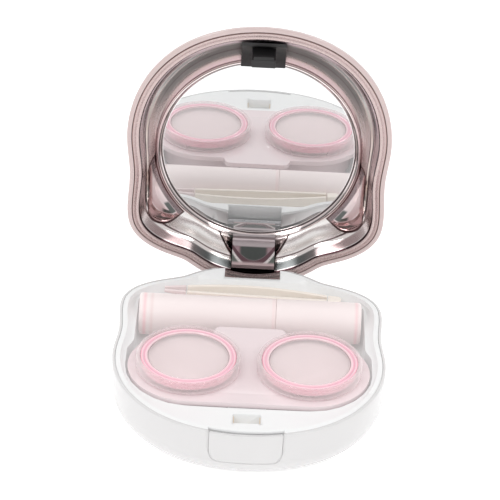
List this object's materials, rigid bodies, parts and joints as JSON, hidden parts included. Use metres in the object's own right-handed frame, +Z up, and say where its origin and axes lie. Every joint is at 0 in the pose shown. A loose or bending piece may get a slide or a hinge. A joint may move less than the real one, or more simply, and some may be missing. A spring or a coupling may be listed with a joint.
{
  "type": "contact lens case",
  "caption": "Clam-shell contact lens travel case with a lid mirror, a push-button latch, a twin-well lens case with screw caps, a solution bottle and tweezers.",
  "frame": {"origin": "centre of the flat underside of the base", "axes": "+Z up, -Y towards the front with the push button, +X to the right as seen from the front"},
  "size_m": [0.0754, 0.1034, 0.09],
  "materials": {
    "white_gloss": "gloss white moulded shell",
    "tray_white": "satin gloss white tray",
    "pearl_pink": "pale pearl pink gloss",
    "rose_chrome": "rose tinted plated chrome",
    "dark_chrome": "black gloss",
    "mirror_glass": "silvered flat glass",
    "foam_pad": "dark adhesive foam",
    "steel": "plain steel",
    "pink_plastic": "clear pink tinted plastic",
    "clear_plastic": "clear plastic, slightly milky",
    "case_pink": "translucent pale pink plastic",
    "frosted_pink": "frosted translucent pink grey plastic",
    "silicone": "soft pale pink silicone",
    "ivory_plastic": "satin cream plastic"
  },
  "bodies": {
    "base": {"base_shell": "white_gloss", "base_tray": "tray_white", "hinge_pin": "steel", "button_spring": "steel"},
    "button": {"release_button": "white_gloss", "button_pusher": "pink_plastic"},
    "lid": {"lid_shell": "pearl_pink", "lid_inner_panel": "rose_chrome", "hinge_arm": "rose_chrome", "latch_hook": "dark_chrome", "mirror_glass": "mirror_glass", "mirror_pad": "foam_pad"},
    "lens_case": {"lens_case_body": "case_pink"},
    "left_seal": {"left_cap_seal": "silicone"},
    "left_cap": {"left_cap_shell": "clear_plastic", "left_cap_ring": "pink_plastic"},
    "right_seal": {"right_cap_seal": "silicone"},
    "right_cap": {"right_cap_shell": "clear_plastic", "right_cap_ring": "pink_plastic"},
    "bottle": {"bottle_body": "frosted_pink", "bottle_nozzle": "silicone"},
    "bottle_liner": {"bottle_cap_liner": "silicone"},
    "bottle_cap": {"bottle_cap": "frosted_pink"},
    "tweezers": {"tweezer_block": "ivory_plastic"},
    "front_arm": {"tweezer_front_arm": "ivory_plastic", "tweezer_front_tip": "silicone"},
    "rear_arm": {"tweezer_rear_arm": "ivory_plastic", "tweezer_rear_tip": "silicone"}
  },
  "joints": [
    {"name": "lid_hinge", "type": "hinge", "parent": "base", "child": "lid", "pos_m": [0, 0.0388, 0.0097], "axis": [1, 0, 0], "range_deg": [0, 91]},
    {"name": "button_push", "type": "slide", "parent": "base", "child": "button", "axis": [0, 1, 0], "range_m": [0, 0.0008], "stiffness_N_per_m": 400, "deforming": ["button_spring"]},
    {"name": "lens_case_lift", "type": "slide", "parent": "base", "child": "lens_case", "axis": [0, 0, 1], "range_m": [0, 0.03]},
    {"name": "left_cap_rise", "type": "slide", "parent": "lens_case", "child": "left_seal", "axis": [0, 0, 1], "range_m": [0, 0.00376]},
    {"name": "left_cap_turn", "type": "hinge", "parent": "left_seal", "child": "left_cap", "pos_m": [-0.0166, -0.0103, 0.0143], "axis": [0, 0, 1], "range_deg": [0, 450]},
    {"name": "right_cap_rise", "type": "slide", "parent": "lens_case", "child": "right_seal", "axis": [0, 0, 1], "range_m": [0, 0.00376]},
    {"name": "right_cap_turn", "type": "hinge", "parent": "right_seal", "child": "right_cap", "pos_m": [0.0166, -0.0103, 0.0143], "axis": [0, 0, 1], "range_deg": [0, 450]},
    {"name": "bottle_lift", "type": "slide", "parent": "base", "child": "bottle", "axis": [0, 0, 1], "range_m": [0, 0.03]},
    {"name": "bottle_cap_slide", "type": "slide", "parent": "bottle", "child": "bottle_liner", "axis": [1, 0, 0], "range_m": [0, 0.00068]},
    {"name": "bottle_cap_turn", "type": "hinge", "parent": "bottle_liner", "child": "bottle_cap", "pos_m": [0.0073, 0.0192, 0.0109], "axis": [1, 0, 0], "range_deg": [0, 120]},
    {"name": "tweezers_lift", "type": "slide", "parent": "base", "child": "tweezers", "axis": [0, 0, 1], "range_m": [0, 0.03]},
    {"name": "front_arm_squeeze", "type": "hinge", "parent": "tweezers", "child": "front_arm", "pos_m": [0.02179, 0.02599, 0.0139], "axis": [0, 0, 1], "range_deg": [-0.4, 0], "stiffness_Nm_per_rad": 0.05},
    {"name": "rear_arm_squeeze", "type": "hinge", "parent": "tweezers", "child": "rear_arm", "pos_m": [0.02184, 0.02769, 0.0139], "axis": [0, 0, 1], "range_deg": [0, 0.4], "stiffness_Nm_per_rad": 0.05}
  ],
  "couplings": [
    {"joint": "left_cap_rise", "follows": "left_cap_turn", "m_per_rad": 0.00047746},
    {"joint": "right_cap_rise", "follows": "right_cap_turn", "m_per_rad": 0.00047746},
    {"joint": "bottle_cap_slide", "follows": "bottle_cap_turn", "m_per_rad": 0.00031831},
    {"joint": "rear_arm_squeeze", "follows": "front_arm_squeeze", "ratio": -1}
  ]
}
